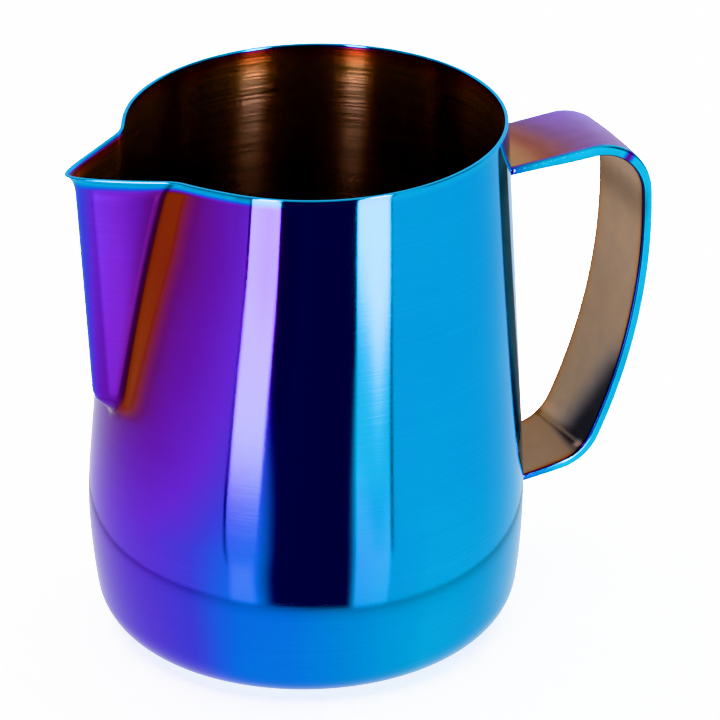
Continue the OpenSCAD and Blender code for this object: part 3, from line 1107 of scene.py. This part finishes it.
def glow_material():
    """An emitter whose strength is the mesh attribute "level", and which is bluer where it is weak."""
    material, g = new_material("card_glow")
    level = g.attribute("level")
    tint = g.ramp(g.remap(level, *TINT_RANGE, 0.0, 1.0), TINTS)
    light = g.add("ShaderNodeEmission", None, {"Color": tint, "Strength": level})
    g.finish("ShaderNodeOutputMaterial", light)
    return material


card_glow = glow_material()


def card(name, points, faces, levels):
    """A glowing card that is seen in the metal and by nothing else. Points are in metres."""
    mesh = bpy.data.meshes.new(name)
    mesh.from_pydata(points.tolist(), [], faces)
    mesh.attributes.new("level", "FLOAT", "POINT").data.foreach_set("value", levels.astype(np.float32))
    mesh.materials.append(card_glow)
    piece = bpy.data.objects.new(name, mesh)
    bpy.context.scene.collection.objects.link(piece)
    piece.visible_camera = False
    piece.visible_diffuse = False
    piece.visible_transmission = False
    piece.visible_volume_scatter = False
    piece.visible_shadow = False


def upright_card(name, azimuths, heights, level_of):
    """A card curved round the object."""
    towards_camera = math.atan2(-cos_azimuth, -sin_azimuth)
    azimuth, z = (grid.ravel() for grid in np.meshgrid(azimuths, heights))
    a = towards_camera + np.radians(azimuth)
    points = np.stack([CARD_RADIUS * np.cos(a), CARD_RADIUS * np.sin(a), z], 1)
    faces = strip_faces(len(heights), len(azimuths), closed=False)
    card(name, points, faces, level_of(azimuth, z))


def table_top():
    steps = np.radians(np.arange(0, 360, STAND_STEP))
    radii, levels = np.array(STAND_LEVELS).T
    r, a = (grid.ravel() for grid in np.meshgrid(radii, steps, indexing="ij"))
    x = -STAND_SHIFT * cos_azimuth + r * np.cos(a)
    y = STAND_SHIFT * sin_azimuth + r * np.sin(a)
    points = np.stack([x, y, np.full(len(r), -STAND_DROP)], 1)
    card("table_top", points, strip_faces(len(radii), len(steps)), np.repeat(levels, len(steps)))


upright_card("front_card", FRONT_AZIMUTHS, FRONT_HEIGHTS, front_level)
upright_card("back_card", BACK_AZIMUTHS, BACK_HEIGHTS, back_level)
table_top()

# ---------------------------------------------------------------- room, floor and lamp
# Brightness of the room in the metal, from below the horizon to straight up
ROOM_LEVELS = [(0, 0.9), (0.14, 0.5), (0.25, 0.08), (0.50, 0.08), (0.78, 0.7)]
ROOM_LOWEST = -0.20
BACKDROP_GAIN = 5.0
FLOOR_HALF = 3
FLOOR_TONES = [(0.3, 0.86), (0.7, 0.90)]
FLOOR_CLOUD = 0.5
FLOOR_ROUGHNESS = 0.9
FLOOR_GLOW = 2.0
LAMP_SIZE = 1.8
LAMP_POWER = 260
LAMP_PLACE = (0, 0.1, 1.4)


def greys(stops):
    return [(place, (level,) * 3) for place, level in stops]


def add_room():
    """A world that the camera sees as white and the metal sees as a shaded room."""
    world = bpy.data.worlds.new("studio")
    bpy.context.scene.world = world
    world.use_nodes = True
    g = Graph(world.node_tree)
    up = g.add("ShaderNodeSeparateXYZ", None, {0: g.place("Generated")}).outputs[2]
    room = g.ramp(g.remap(up, ROOM_LOWEST, 1.0, 0.0, 1.0), greys(ROOM_LEVELS))
    from_camera = g.add("ShaderNodeLightPath").outputs["Is Camera Ray"]
    background = g.add("ShaderNodeBackground", None, {
        "Color": g.mix(from_camera, room, (1, 1, 1, 1)),
        "Strength": g.math("MULTIPLY_ADD", from_camera, BACKDROP_GAIN, 1.0),
    })
    g.finish("ShaderNodeOutputWorld", background)


def floor_material():
    material, g = new_material("pale_floor")
    shader = g.add("ShaderNodeBsdfPrincipled", None, {
        "Base Color": g.ramp(g.noise(g.place("Object"), FLOOR_CLOUD), greys(FLOOR_TONES)),
        "Roughness": FLOOR_ROUGHNESS,
        "Emission Color": (1, 1, 1, 1),
        "Emission Strength": FLOOR_GLOW,
    })
    g.finish("ShaderNodeOutputMaterial", shader)
    return material


def add_floor():
    mesh = bpy.data.meshes.new("floor")
    corners = [(FLOOR_HALF * x, FLOOR_HALF * y, 0) for x, y in ((-1, -1), (1, -1), (1, 1), (-1, 1))]
    mesh.from_pydata(corners, [], [(0, 1, 2, 3)])
    mesh.materials.append(floor_material())
    floor = bpy.data.objects.new("floor", mesh)
    bpy.context.scene.collection.objects.link(floor)
    floor.visible_glossy = False


def add_lamp():
    lamp = bpy.data.lights.new("overhead", "AREA")
    lamp.shape = "DISK"
    lamp.size = LAMP_SIZE
    lamp.energy = LAMP_POWER
    overhead = bpy.data.objects.new("overhead", lamp)
    overhead.location = LAMP_PLACE
    overhead.visible_glossy = False
    bpy.context.scene.collection.objects.link(overhead)


add_room()
add_floor()
add_lamp()

bpy.context.scene.view_settings.view_transform = "Khronos PBR Neutral"
bpy.context.scene.view_settings.look = "None"
